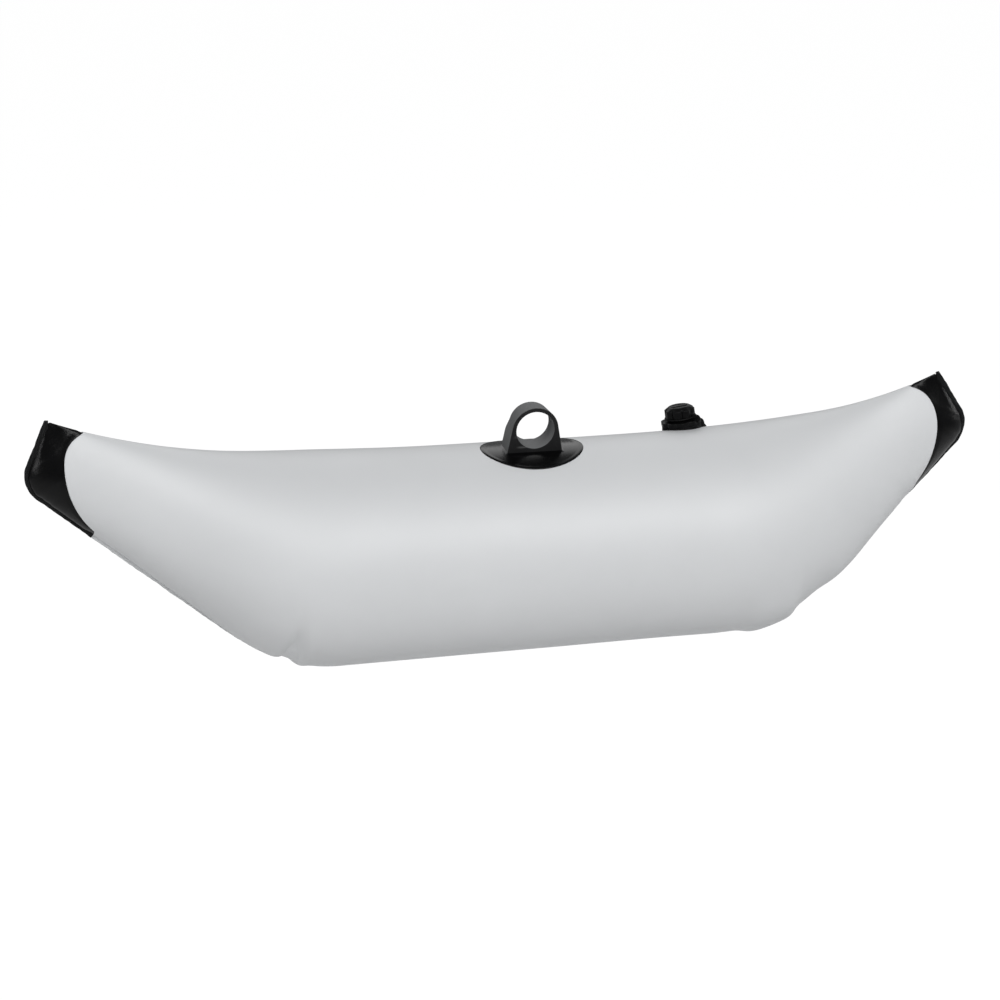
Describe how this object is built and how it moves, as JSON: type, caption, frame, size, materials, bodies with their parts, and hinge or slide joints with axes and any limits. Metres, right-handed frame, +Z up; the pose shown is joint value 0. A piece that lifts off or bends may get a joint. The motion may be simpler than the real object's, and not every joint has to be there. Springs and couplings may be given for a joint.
{
  "type": "kayak outrigger",
  "caption": "Inflatable outrigger float for a kayak, with raised welded ends, an arm socket on its ridge and a screw-in inflation valve.",
  "frame": {"origin": "centre of the arm socket's bore, midway through its depth", "axes": "+Y along the bore axis, across the float; +X along the float towards its stern end, the shorter half; +Z up"},
  "size_m": [0.9208, 0.2072, 0.2634],
  "materials": {
    "grey_vinyl": "satin",
    "black_vinyl": "satin",
    "gloss_rubber": "gloss",
    "socket_rubber": "matte",
    "valve_plastic": "satin",
    "soft_rubber": "matte",
    "tether_rubber": "matte"
  },
  "bodies": {
    "float": {"float_skin": "grey_vinyl", "bow_end": "black_vinyl", "stern_end": "black_vinyl", "mount_flange": "gloss_rubber", "arm_socket": "socket_rubber", "valve_base": "valve_plastic", "body_tether": "tether_rubber"},
    "plug_rise_ring": {"body_tether_ring": "tether_rubber"},
    "plug": {"valve_body": "valve_plastic", "base_gasket": "soft_rubber", "cap_tether": "tether_rubber"},
    "flap": {"valve_flap": "soft_rubber"},
    "cap_rise_ring": {"cap_tether_ring": "tether_rubber"},
    "cap": {"valve_cap": "valve_plastic", "cap_gasket": "soft_rubber"}
  },
  "joints": [
    {"name": "plug_rise", "type": "slide", "parent": "float", "child": "plug_rise_ring", "axis": [-0.1392, 0.172, 0.9752], "range_m": [0, 0.012], "deforming": ["body_tether"]},
    {"name": "plug_turn", "type": "hinge", "parent": "plug_rise_ring", "child": "plug", "pos_m": [0.1625, 0.04119, -0.02904], "axis": [-0.1392, 0.172, 0.9752], "range_deg": [0, 1441]},
    {"name": "flap_open", "type": "slide", "parent": "plug", "child": "flap", "axis": [0.1392, -0.172, -0.9752], "range_m": [0, 0.0025], "stiffness_N_per_m": 60},
    {"name": "cap_rise", "type": "slide", "parent": "plug", "child": "cap_rise_ring", "axis": [-0.1392, 0.172, 0.9752], "range_m": [0, 0.009], "deforming": ["cap_tether"]},
    {"name": "cap_turn", "type": "hinge", "parent": "cap_rise_ring", "child": "cap", "pos_m": [0.1625, 0.04119, -0.02904], "axis": [-0.1392, 0.172, 0.9752], "range_deg": [0, 1081]}
  ],
  "couplings": [
    {"joint": "plug_turn", "follows": "plug_rise", "rad_per_m": 2094.4},
    {"joint": "cap_turn", "follows": "cap_rise", "rad_per_m": 2094.4}
  ]
}
